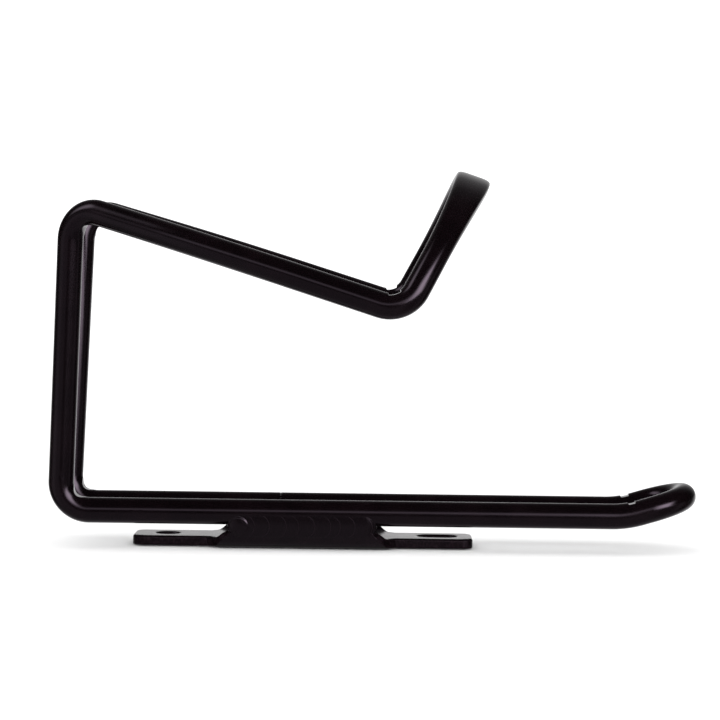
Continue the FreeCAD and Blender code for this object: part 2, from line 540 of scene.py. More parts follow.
# --------------------------------------------------------------------------------- the bent rod


@dataclass
class Run:
    """A straight stretch of the rod's centreline."""

    start: np.ndarray
    end: np.ndarray

    @property
    def length(self) -> float:
        """The stretch's length."""
        return float(np.linalg.norm(self.end - self.start))

    def at(self, distance: float) -> tuple[np.ndarray, np.ndarray]:
        """Gives the point and the direction at a distance from the start."""
        direction = (self.end - self.start) / self.length
        return self.start + direction * distance, direction


@dataclass(frozen=True)
class PinMark:
    """The flat that a bending pin leaves on the inside of a bend."""

    depth: float
    half_length: float
    shift: float
    edge: float


@dataclass
class Bend:
    """A round stretch: it starts at centre + first and turns towards second."""

    centre: np.ndarray
    first: np.ndarray
    second: np.ndarray
    sweep: float
    pin: PinMark | None = None

    @property
    def radius(self) -> float:
        """The bend's radius."""
        return float(np.linalg.norm(self.first))

    @property
    def length(self) -> float:
        """The bend's length."""
        return self.radius * self.sweep

    def at(self, distance: float) -> tuple[np.ndarray, np.ndarray]:
        """Follows the bend.

        Args:
            distance: The distance from its start.

        Returns:
            The point and the direction there.
        """
        turn = distance / self.radius
        point = self.centre + self.first * math.cos(turn) + self.second * math.sin(turn)
        direction = self.second * math.cos(turn) - self.first * math.sin(turn)
        return point, direction / self.radius


def fit_turn(before: np.ndarray, corner: np.ndarray, after: np.ndarray, radius: float) -> tuple:
    """Fits a round turn into a corner.

    Args:
        before: The point before the corner.
        corner: The corner.
        after: The point after it.
        radius: The turn's radius.

    Returns:
        Where the turn starts, the way in, the way to its centre, its sweep and where it ends.
    """
    into = (corner - before) / np.linalg.norm(corner - before)
    out = (after - corner) / np.linalg.norm(after - corner)
    sweep = math.acos(float(np.clip(into @ out, -1.0, 1.0)))
    setback = radius * math.tan(sweep / 2.0)
    inward = out - into * float(into @ out)
    inward /= np.linalg.norm(inward)
    return corner - into * setback, into, inward, sweep, corner + out * setback


def bent_line(
    corners: Sequence[Sequence[float]],
    radii: Sequence[float],
    pins: Sequence[PinMark | None],
) -> list:
    """Joins corners by straight runs and tangent bends.

    Args:
        corners: The line's start, its corners and its end.
        radii: The bend radius at each corner between.
        pins: The pin's mark inside each bend, or None.

    Returns:
        The stretches, in order.
    """
    points = [np.array(corner, float) for corner in corners]
    stretches = []
    start = points[0]
    for before, corner, after, radius, pin in zip(points, points[1:], points[2:], radii, pins):
        entry, into, inward, sweep, leave = fit_turn(before, corner, after, radius)
        stretches.append(Run(start, entry))
        stretches.append(Bend(entry + inward * radius, -inward * radius, into * radius, sweep, pin))
        start = leave
    stretches.append(Run(start, points[-1]))
    return stretches


@dataclass
class DieMark:
    """A small dent that a tool left in the rod."""

    place: tuple[float, float, float]
    width: float
    depth: float


@dataclass
class RodLoop:
    """The one bent rod, whose two ends meet on the left rail above the bracket."""

    radius: float = 3.0
    rail_offset: float = 8.8
    rail_height: float = 8.4
    bend_radius: float = 6.6
    joint_x: float = -5.6
    joint_gap: float = 0.06
    heel_x: float = -56.7
    corner: tuple[float, float, float] = (-54.1, 12.2, 79.8)
    bow: tuple[float, float, float] = (-18.0, 31.2, 69.2)
    bow_radius: float = 110.0
    arch_base: tuple[float, float] = (23.1, 56.3)
    arch_tilt: float = math.radians(62.0)
    arch_radius: float = 37.4
    arch_drop: float = 3.1
    arch_start: float = math.radians(14.0)
    flatten_start: float = math.radians(26.0)
    flatten_end: float = math.radians(80.0)
    band_width: float = 8.15
    band_thickness: float = 3.0
    band_twist: float = math.radians(9.4)
    band_square: float = 4.6
    hook_x: float = 76.0
    hook_slope: float = math.radians(16.5)
    hook_radius: float = 24.0
    hook_tip_x: float = 93.3
    end_round: float = 0.16
    around: int = 64
    run_step: float = 1.4
    bend_step: float = 0.45
    mark_step: float = 0.2
    mark_reach: float = 3.0
    pin_step: float = 0.11
    pin_margin: float = 0.5
    left_hook_pin: PinMark = PinMark(0.42, 1.1, 2.0, 0.15)
    right_hook_pin: PinMark = PinMark(0.42, 0.95, -1.9, 0.15)
    corner_pin: PinMark = PinMark(0.65, 2.2, 0.0, 2.2)
    right_arch_pin: PinMark = PinMark(0.5, 2.4, -0.7, 0.3)
    left_arch_pin: PinMark = PinMark(0.5, 2.4, 0.9, 0.3)
    die_marks: tuple[DieMark, ...] = (
        DieMark((-56.0, -12.4, 16.5), 0.55, 0.10),
        DieMark((-39.8, -11.8, 8.2), 0.35, 0.06),
        DieMark((-38.6, -11.8, 8.0), 0.30, 0.05),
        DieMark((-37.6, -11.8, 8.3), 0.30, 0.06),
        DieMark((-30.2, -11.7, 7.2), 0.35, 0.05),
        DieMark((-29.1, -11.7, 7.0), 0.25, 0.05),
    )
    line: list = field(default_factory=list)

    def arch_bend(self) -> Bend:
        """Lays out the arch's centreline, in a plane that leans towards the hook.

        Returns:
            One round stretch from the right side over to the left.
        """
        up_slope = np.array([math.cos(self.arch_tilt), 0.0, math.sin(self.arch_tilt)])
        base = np.array([self.arch_base[0], 0.0, self.arch_base[1]])
        centre = base - up_slope * self.arch_drop
        right = np.array([0.0, -1.0, 0.0])
        start, sweep = self.arch_start, math.pi - 2.0 * self.arch_start
        first = (right * math.cos(start) + up_slope * math.sin(start)) * self.arch_radius
        second = (up_slope * math.cos(start) - right * math.sin(start)) * self.arch_radius
        return Bend(centre, first, second, sweep)

    def side_corners(self, side: Side) -> list[np.ndarray]:
        """Lists the corners of one side.

        Args:
            side: The side of the heel; the arch's points lie opposite and follow by mirroring.

        Returns:
            The corners, from the heel up and back to the start of the arch.
        """
        sign = np.array([1.0, side.value, 1.0])
        top, along = self.arch_bend().at(0.0)
        low = top - along * (top[2] - self.arch_base[1]) / along[2]
        from_right = np.array([1.0, -side.value, 1.0])
        heel = np.array([self.heel_x, self.rail_offset, self.rail_height])
        left_corners = [heel, np.array(self.corner), np.array(self.bow)]
        return [corner * sign for corner in left_corners] + [low * from_right, top * from_right]

    def hook_corners(self, side: Side) -> list[np.ndarray]:
        """Lists the points of one side of the hook.

        Args:
            side: The side.

        Returns:
            The corner under the hook and the end of its slope.
        """
        offset = side.value * self.rail_offset
        slope = np.array([math.cos(self.hook_slope), 0.0, math.sin(self.hook_slope)])
        reach = (self.hook_tip_x - self.radius - self.hook_x) / slope[0] - self.rail_offset
        corner = np.array([self.hook_x, offset, self.rail_height])
        return [corner, corner + slope * reach]

    def lay_out(self) -> None:
        """Works out the whole centreline, from the joint round to the joint again."""
        half_gap = np.array([self.joint_gap / 2.0, 0.0, 0.0])
        joint = np.array([self.joint_x, self.rail_offset, self.rail_height])
        left_hook = self.hook_corners(Side.LEFT)
        right_hook = self.hook_corners(Side.RIGHT)
        bend, hook = self.bend_radius, self.hook_radius
        self.line = bent_line([joint + half_gap, *left_hook], [hook], [self.left_hook_pin])
        middle = (left_hook[1] + right_hook[1]) / 2.0
        slope = (left_hook[1] - left_hook[0]) / np.linalg.norm(left_hook[1] - left_hook[0])
        self.line.append(Bend(middle, left_hook[1] - middle, slope * self.rail_offset, math.pi))
        right = self.side_corners(Side.RIGHT)
        self.line += bent_line(
            [right_hook[1], right_hook[0], *right],
            [hook, bend, bend, self.bow_radius, bend],
            [self.right_hook_pin, self.corner_pin, self.corner_pin, None, self.right_arch_pin],
        )
        self.line.append(self.arch_bend())
        left = self.side_corners(Side.LEFT)
        self.line += bent_line(
            [*left[::-1], joint - half_gap],
            [bend, self.bow_radius, bend, bend],
            [self.left_arch_pin, None, self.corner_pin, self.corner_pin],
        )

    def stations(self) -> list[tuple[object, float, float]]:
        """Picks where the rod is cut into rings.

        Returns:
            The stretch, the distance on it and the distance from the rod's start, for each ring.
        """
        picked = []
        passed = 0.0
        rounding = self.end_round * (1.0 - np.cos(np.linspace(0.0, math.pi / 2.0, 5)))
        for number, stretch in enumerate(self.line):
            places = self._places(stretch)
            if number == 0:
                places = sorted({*places, *rounding.tolist()})
            if number == len(self.line) - 1:
                places = sorted({*places, *(stretch.length - rounding).tolist(), stretch.length})
            picked += [(stretch, place, passed + place) for place in places]
            passed += stretch.length
        return picked

    def _places(self, stretch: Run | Bend) -> list[float]:
        """Spaces the rings of one stretch, close together where it has small features.

        Args:
            stretch: A run or a bend.

        Returns:
            Distances from the stretch's start, without its end.
        """
        places = []
        distance = 0.0
        middle = stretch.length / 2.0
        while distance < stretch.length - self.pin_step / 2.0:
            places.append(distance)
            point, _ = stretch.at(distance)
            tight = isinstance(stretch, Bend) and stretch.radius < self.bow_radius
            step = self.bend_step if tight else self.run_step
            pin = getattr(stretch, "pin", None)
            if pin:
                from_pin = abs(distance - middle - pin.shift)
                near = from_pin < pin.half_length + pin.edge + self.pin_margin
                step = self.pin_step if near else step
            for mark in self.die_marks:
                reach = self.radius + self.mark_reach * mark.width
                if np.linalg.norm(point - np.array(mark.place)) < reach:
                    step = min(step, self.mark_step)
            distance += step
        return places

    def flatness(self, stretch: Run | Bend, place: float) -> tuple[float, float | None]:
        """Says how far the rod is flattened.

        Args:
            stretch: The stretch.
            place: The distance along it.

        Returns:
            The share, from 0 to 1, and the angle on the arch, or None off it.
        """
        if not isinstance(stretch, Bend) or abs(stretch.radius - self.arch_radius) > 1e-6:
            return 0.0, None
        angle = self.arch_start + place / stretch.radius
        from_side = min(angle, math.pi - angle)
        return float(smooth(from_side, self.flatten_start, self.flatten_end)), angle

    def section(self, flat: float) -> np.ndarray:
        """Outline of the rod, from a circle to a flat band with squared edges.

        Args:
            flat: 0 for the round rod and 1 for the full band.

        Returns:
            Rows of wide and thick coordinates, one for each point around.
        """
        half_wide = self.radius + flat * (self.band_width / 2.0 - self.radius)
        half_thick = self.radius + flat * (self.band_thickness / 2.0 - self.radius)
        square = 2.0 + flat * (self.band_square - 2.0)
        turns = np.linspace(0.0, 2.0 * math.pi, self.around, endpoint=False)
        wide, thick = half_wide * np.cos(turns), half_thick * np.sin(turns)
        reach = np.abs(wide / half_wide) ** square + np.abs(thick / half_thick) ** square
        scale = reach ** (-1.0 / square)
        return np.stack([wide * scale, thick * scale], axis=1)

    def rings(self) -> tuple[np.ndarray, np.ndarray]:
        """Works out every point of the rod.

        Returns:
            The points and, for each, its place as the drawn lines see it.
        """
        stations = self.stations()
        frames = self._frames(stations)
        total = stations[-1][2]
        points, runs = [], []
        turns = np.linspace(0.0, 2.0 * math.pi, self.around, endpoint=False)
        for (stretch, place, passed), (wide, thick) in zip(stations, frames):
            centre, _ = stretch.at(place)
            flat, _ = self.flatness(stretch, place)
            outline = self.section(flat)
            inset = self._end_inset(min(passed, total - passed))
            outline = outline * (1.0 - inset / self.radius)
            ring = centre + outline[:, :1] * wide + outline[:, 1:] * thick
            ring = self._press_pin(stretch, place, ring)
            points.append(ring)
            runs.append(np.stack([np.cos(turns), np.sin(turns), np.full(self.around, passed)], 1))
        return self._strike(np.concatenate(points)), np.concatenate(runs)

    def _end_inset(self, distance: float) -> float:
        """Says how far the rounded edge of a cut end draws in.

        Args:
            distance: The distance from the end.

        Returns:
            The inset.
        """
        if distance >= self.end_round:
            return 0.0
        rest = 1.0 - distance / self.end_round
        return self.end_round * (1.0 - math.sqrt(1.0 - rest * rest))

    def _frames(self, stations: list) -> list[tuple[np.ndarray, np.ndarray]]:
        """Carries the band's own axes along the whole rod without twist.

        Args:
            stations: The rings' places.

        Returns:
            The wide and the thick axis of each ring.
        """
        on_arch = [n for n, station in enumerate(stations) if self.flatness(*station[:2])[1]]
        frames: list = [None] * len(stations)
        sideways = np.array([math.sin(self.arch_tilt), 0.0, -math.cos(self.arch_tilt)])
        for number in on_arch:
            stretch, place, _ = stations[number]
            centre, direction = stretch.at(place)
            outward = (centre - stretch.centre) / stretch.radius
            wide = sideways * math.cos(self.band_twist) + outward * math.sin(self.band_twist)
            frames[number] = (wide, np.cross(direction, wide))
        for order in (range(on_arch[-1] + 1, len(stations)), range(on_arch[0] - 1, -1, -1)):
            for number in order:
                stretch, place, _ = stations[number]
                _, direction = stretch.at(place)
                wide, _ = frames[number - order.step]
                wide = wide - direction * float(wide @ direction)
                wide /= np.linalg.norm(wide)
                frames[number] = (wide, np.cross(direction, wide))
        return frames

    def _press_pin(self, stretch: Run | Bend, place: float, ring: np.ndarray) -> np.ndarray:
        """Flattens the inside of a bend where the bending pin pressed it.

        Args:
            stretch: The stretch that the ring is on.
            place: The ring's distance along it.
            ring: The ring's points.

        Returns:
            The pressed ring.
        """
        pin = getattr(stretch, "pin", None)
        if pin is None:
            return ring
        off_middle = abs(place - stretch.length / 2.0 - pin.shift)
        pressed = 1.0 - smooth(off_middle, pin.half_length - pin.edge, pin.half_length + pin.edge)
        centre, _ = stretch.at(place)
        inward = (stretch.centre - centre) * (1.0, 0.0, 1.0)
        inward /= np.linalg.norm(inward)
        height = (ring - centre) @ inward
        push = np.clip(height - self.radius + pin.depth * pressed, 0.0, None)
        return ring - push[:, None] * inward

    def _strike(self, points: np.ndarray) -> np.ndarray:
        """Presses the die marks into the rod.

        Args:
            points: All of the rod's points.

        Returns:
            The points, pushed towards the rod's middle at each mark.
        """
        moved = points.copy()
        for mark in self.die_marks:
            place = np.array(mark.place)
            near = np.linalg.norm(points - place, axis=1)
            share = np.exp(-((near / mark.width) ** 2))
            moved[:, 1] -= np.sign(place[1]) * mark.depth * share
        return moved

    def build(self, material: bpy.types.Material) -> bpy.types.Object:
        """Makes the rod.

        Args:
            material: Its paint.

        Returns:
            The rod's piece, which stands for the CAD rod.
        """
        self.lay_out()
        points, runs = self.rings()
        rings = len(points) // self.around
        faces = ring_faces(rings, self.around)
        for ring in (0, rings - 1):
            first = ring * self.around
            hub = len(points)
            points = np.vstack([points, points[first : first + self.around].mean(axis=0)])
            runs = np.vstack([runs, [0.0, 0.0, runs[first, 2]]])
            faces += [(*pair, hub) for pair in ring_pairs(first, self.around)]
        piece = make_piece("bent_rod", points, faces, material)
        layer = piece.data.attributes.new("rod_run", "FLOAT_VECTOR", "POINT")
        layer.data.foreach_set("vector", runs.astype(np.float32).ravel())
        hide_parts("rod_loop")
        return piece


# ----------------------------------------------------------------------------------- the bracket


def soft_outline(
    corners: Sequence[tuple[float, float]], radii: Sequence[float], step: float
) -> np.ndarray:
    """Rounds the corners of a closed outline and divides it evenly.

    Args:
        corners: The outline's corners, in order.
        radii: The rounding of each corner.
        step: The spacing of the points.

    Returns:
        One row for each point.
    """
    points = []
    marks = [np.array(corner, float) for corner in corners]
    turns = list(map(fit_turn, [marks[-1], *marks], marks, [*marks[1:], marks[0]], radii))
    for turn, radius, following in zip(turns, radii, [*turns[1:], turns[0]]):
        entry, into, inward, sweep, leave = turn
        parts = max(4, math.ceil(radius * sweep / step))
        for part in range(parts):
            angle = sweep * part / parts
            arm = into * radius * math.sin(angle)
            points.append(entry + arm + inward * radius * (1 - math.cos(angle)))
        gap = following[0] - leave
        parts = max(1, round(np.linalg.norm(gap) / step))
        points += [leave + gap * part / parts for part in range(parts)]
    return np.array(points)


def outline_normals(points: np.ndarray) -> np.ndarray:
    """Finds the sideways directions of a closed outline.

    Args:
        points: The outline's points.

    Returns:
        For each point, the direction to the right of the way round.
    """
    ahead = np.roll(points, -1, axis=0) - points
    behind = points - np.roll(points, 1, axis=0)
    ahead /= np.linalg.norm(ahead, axis=1)[:, None]
    behind /= np.linalg.norm(behind, axis=1)[:, None]
    along = ahead + behind
    along /= np.linalg.norm(along, axis=1)[:, None]
    return np.stack([along[:, 1], -along[:, 0]], axis=1)


@dataclass
class MountingBracket:
    """The pressed plate: a flat blank with two bolt holes, whose middle is bent up to the rails."""

    thickness: float = 2.3
    start_x: float = -40.0
    end_x: float = 40.3
    tab_width: float = 13.0
    tab_corner: float = 2.6
    saddle_corner: float = 0.2
    wing_corner: float = 0.9
    hole_x: float = -32.0
    slot_x: float = 32.0
    hole_radius: float = 2.75
    slot_length: float = 9.2
    saddle_start: float = -22.3
    saddle_end: float = 22.2
    top_start: float = -15.5
    top_end: float = 15.5
    base_width: float = 15.2
    wing_angle: float = math.radians(62.0)
    wing_bend: float = 3.2
    wing_reach: float = 3.25
    wing_splay: float = math.radians(10.0)
    splay_range: tuple[float, float] = (1.5, 7.5)
    rail_offset: float = 8.8
    rail_height: float = 8.4
    rail_radius: float = 3.0
    melt_y: float = 10.99
    melt_z: float = 2.8
    melt_lean: float = 0.139
    shear_lean: float = 0.62
    shear_reach: tuple[float, float] = (0.3, 4.0)
    shear_height: tuple[float, float] = (1.4, 3.6)
    top_roll: float = 0.5
    bottom_roll: float = 0.22
    roll_parts: int = 5
    wall_parts: int = 6
    step: float = 0.4
    flat_step: float = 0.95
    bend_step: float = 0.2
    wing_step: float = 0.5
    column_step: float = 0.8
    edge_clear: float = 0.3

    @property
    def middle_bend(self) -> float:
        """Bend radius at the middle of the plate's thickness."""
        return self.wing_bend - self.thickness / 2.0

    @property
    def half_blank(self) -> float:
        """Half the width of the flat blank across both wings."""
        return self.base_width / 2.0 + self.middle_bend * self.wing_angle + self.wing_reach

    def outlines(self) -> list[np.ndarray]:
        """Draws the blank.

        Returns:
            Its outer edge, its round hole and its slot.
        """
        half_tab, half_blank = self.tab_width / 2.0, self.half_blank
        lower = [
            (self.start_x, -half_tab),
            (self.saddle_start, -half_tab),
            (self.top_start, -half_blank),
            (self.top_end, -half_blank),
            (self.saddle_end, -half_tab),
            (self.end_x, -half_tab),
        ]
        upper = [(x, -across) for x, across in lower[::-1]]
        radii = [self.tab_corner, self.saddle_corner, self.wing_corner]
        radii += radii[::-1]
        outer = soft_outline(lower + upper, radii + radii, self.step)
        hole = self._oval(self.hole_x, self.hole_radius)
        slot = self._oval(self.slot_x, self.slot_length / 2.0)
        return [outer, hole, slot]

    def _oval(self, centre: float, half_length: float) -> np.ndarray:
        """Draws a round hole or a slot, clockwise so that its sideways direction points into it.

        Args:
            centre: The place of its centre along the bracket.
            half_length: Half its length.

        Returns:
            One row for each point.
        """
        radius = self.hole_radius
        corners = [
            (centre - half_length, -radius),
            (centre - half_length, radius),
            (centre + half_length, radius),
            (centre + half_length, -radius),
        ]
        return soft_outline(corners, [radius * ALMOST_WHOLE] * 4, self.step)

    def _inner_points(self, edges: Sequence[np.ndarray]) -> np.ndarray:
        """Even points inside the blank, closer together where it bends.

        Args:
            edges: The outlines that the points stay clear of.

        Returns:
            One row for each point.
        """
        bend_start = self.base_width / 2.0
        bend_end = bend_start + self.middle_bend * self.wing_angle
        across = [
            *np.arange(0.0, bend_start, self.flat_step),
            *np.arange(bend_start, bend_end, self.bend_step),
            *np.arange(bend_end, self.half_blank, self.wing_step),
        ]
        rows = sorted({*np.round(across, 4), *np.round(np.negative(across), 4)})
        columns = np.arange(self.start_x, self.end_x, self.column_step)
        grid = np.array([(x, s) for s in rows for x in columns])
        border = np.concatenate(edges)
        clear = np.array([np.min(np.sum((border - point) ** 2, axis=1)) for point in grid])
        grid = grid[clear > self.edge_clear**2]
        return grid[[self._in_blank(point, edges) for point in grid]]

    def _in_blank(self, point: np.ndarray, edges: Sequence[np.ndarray]) -> bool:
        """Whether a point of the plane lies on the blank, outside its holes."""
        return sum(self._encloses(edge, point) for edge in edges) == 1

    def _encloses(self, edge: np.ndarray, point: np.ndarray) -> bool:
        """Says whether a closed outline goes round a point.

        Args:
            edge: The outline.
            point: The point.

        Returns:
            Whether it does.
        """
        following = np.roll(edge, -1, axis=0)
        spans = (edge[:, 1] > point[1]) != (following[:, 1] > point[1])
        rise = np.where(spans, following[:, 1] - edge[:, 1], 1.0)
        cross = edge[:, 0] + (point[1] - edge[:, 1]) * (following[:, 0] - edge[:, 0]) / rise
        return bool(np.count_nonzero(spans & (cross > point[0])) % 2)

    def _face(self, edges: Sequence[np.ndarray]) -> tuple[np.ndarray, list[tuple[int, ...]]]:
        """Fills the blank with faces.

        Args:
            edges: The outlines at this face.

        Returns:
            The inner points that were added after the outlines' points, and the faces.
        """
        inner = self._inner_points(edges)
        points = np.concatenate([*edges, inner])
        borders = []
        first = 0
        for edge in edges:
            borders += ring_pairs(first, len(edge))
            first += len(edge)
        flat = [Vector(point) for point in points]
        made, _, faces, sources, _, _ = delaunay_2d_cdt(flat, borders, [], 0, 1e-6)
        source = [origin[0] for origin in sources]
        kept = []
        for face in faces:
            middle = np.mean([made[n] for n in face], axis=0)
            if self._in_blank(middle, edges):
                kept.append(tuple(source[n] for n in face))
        return inner, kept

    def bent(self, blank: np.ndarray) -> np.ndarray:
        """Bends blank points up into the wings.

        Args:
            blank: Rows of the place along, the place across and the height in the thickness.

        Returns:
            The points of the pressed bracket.
        """
        along, across, height = blank.T
        half = self.base_width / 2.0
        to_end = np.minimum(along - self.saddle_start, self.saddle_end - along)
        angle = self.wing_angle - self.wing_splay * (1.0 - smooth(to_end, *self.splay_range))
        past = np.clip(np.abs(across) - half, 0.0, None)
        turn = np.minimum(past / self.middle_bend, angle)
        reach = np.clip(past - self.middle_bend * angle, 0.0, None)
        outer = self.wing_bend
        y = np.minimum(np.abs(across), half) + outer * np.sin(turn) + reach * np.cos(angle)
        z = outer - outer * np.cos(turn) + reach * np.sin(angle)
        upright = self._upright(along, across, z)
        lean_y, lean_z = -np.sin(turn) * (1.0 - upright), np.cos(turn) * (1.0 - upright) + upright
        y += height * lean_y
        z += height * lean_z
        melted = self.melt_y + self.melt_lean * (z - self.melt_z)
        y = np.where(z < self.melt_z, y, np.minimum(y, melted))
        bent = np.stack([along, np.sign(across) * y, z], axis=1)
        return self._seat(bent)

    def _upright(self, along: np.ndarray, across: np.ndarray, z: np.ndarray) -> np.ndarray:
        """How far the thickness stands upright instead of square to the plate.

        The wings' slanted ends were sheared straight down before they were bent up.

        Args:
            along: Places along the blank.
            across: Places across the blank.
            z: Heights of the outer face.

        Returns:
            1 at the slanted ends and 0 away from them and beside the rails.
        """
        half_tab = self.tab_width / 2.0
        rise = np.clip((np.abs(across) - half_tab) / (self.half_blank - half_tab), 0.0, 1.0)
        start = self.saddle_start + (self.top_start - self.saddle_start) * rise
        end = self.saddle_end + (self.top_end - self.saddle_end) * rise
        to_slant = np.minimum(along - start, end - along)
        near_slant = 1.0 - smooth(to_slant, *self.shear_reach)
        return self.shear_lean * near_slant * (1.0 - smooth(z, *self.shear_height))

    def _seat(self, points: np.ndarray) -> np.ndarray:
        """Presses the wings' tops against the rails.

        Args:
            points: The bent bracket's points.

        Returns:
            The points, none of them inside a rail.
        """
        seated = points.copy()
        rail = np.array([self.rail_offset, self.rail_height])
        from_rail = np.stack([np.abs(points[:, 1]), points[:, 2]], axis=1) - rail
        distance = np.linalg.norm(from_rail, axis=1)
        inside = distance < self.rail_radius
        scale = self.rail_radius / np.maximum(distance, 1e-6)
        pushed = rail + from_rail * scale[:, None]
        seated[inside, 1] = np.sign(points[inside, 1]) * pushed[inside, 0]
        seated[inside, 2] = pushed[inside, 1]
        return seated

    def _edge_profile(self) -> list[tuple[float, float]]:
        """The plate's edge: its rolled top corner, its sheared wall and its sharper lower corner.

        Returns:
            Pairs of the inset from the outline and the height, from the top face down.
        """
        turns = np.linspace(0.0, math.pi / 2.0, self.roll_parts)
        top, low = self.top_roll, self.bottom_roll
        wall = np.linspace(self.thickness - top, low, self.wall_parts)[1:-1]
        down = [
            (top * (1.0 - math.sin(turn)), self.thickness - top * (1.0 - math.cos(turn)))
            for turn in turns
        ]
        under = [
            (low * (1.0 - math.sin(turn)), low * (1.0 - math.cos(turn))) for turn in turns[::-1]
        ]
        return down + [(0.0, float(height)) for height in wall] + under

    def build(self, material: bpy.types.Material, torn: bpy.types.Material) -> bpy.types.Object:
        """Makes the bracket.

        Args:
            material: Its paint.
            torn: The paint on its sheared edges.

        Returns:
            The bracket's piece, which stands for the CAD bracket.
        """
        outlines = self.outlines()
        normals = [outline_normals(edge) for edge in outlines]
        profile = self._edge_profile()
        ring_size = sum(len(edge) for edge in outlines)
        blank, faces = [], []
        for inset, height in profile:
            for edge, normal in zip(outlines, normals):
                blank.append(np.column_stack([edge - normal * inset, np.full(len(edge), height)]))
        for ring in range(len(profile) - 1):
            first = ring * ring_size
            for edge in outlines:
                for here, aside in ring_pairs(first, len(edge)):
                    faces.append((here, here + ring_size, aside + ring_size, aside))
                first += len(edge)
        total = len(profile) * ring_size
        for ring in (0, len(profile) - 1):
            inset, height = profile[ring]
            edges = [edge - normal * inset for edge, normal in zip(outlines, normals)]
            inner, found = self._face(edges)
            blank.append(np.column_stack([inner, np.full(len(inner), height)]))
            for face in found:
                shifts = [ring * ring_size if n < ring_size else total - ring_size for n in face]
                faces.append(tuple(n + shift for n, shift in zip(face, shifts)))
            total += len(inner)
        piece = make_piece("pressed_bracket", self.bent(np.concatenate(blank)), faces, material)
        piece.data.materials.append(torn)
        wall_start = (self.roll_parts - 2) * ring_size
        wall_end = (len(profile) - self.roll_parts + 2) * ring_size
        for face in piece.data.polygons:
            if min(face.vertices) >= wall_start and max(face.vertices) < wall_end:
                face.material_index = 1
        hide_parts("mounting_bracket")
        return piece


# ------------------------------------------------------------------------------- the weld beads


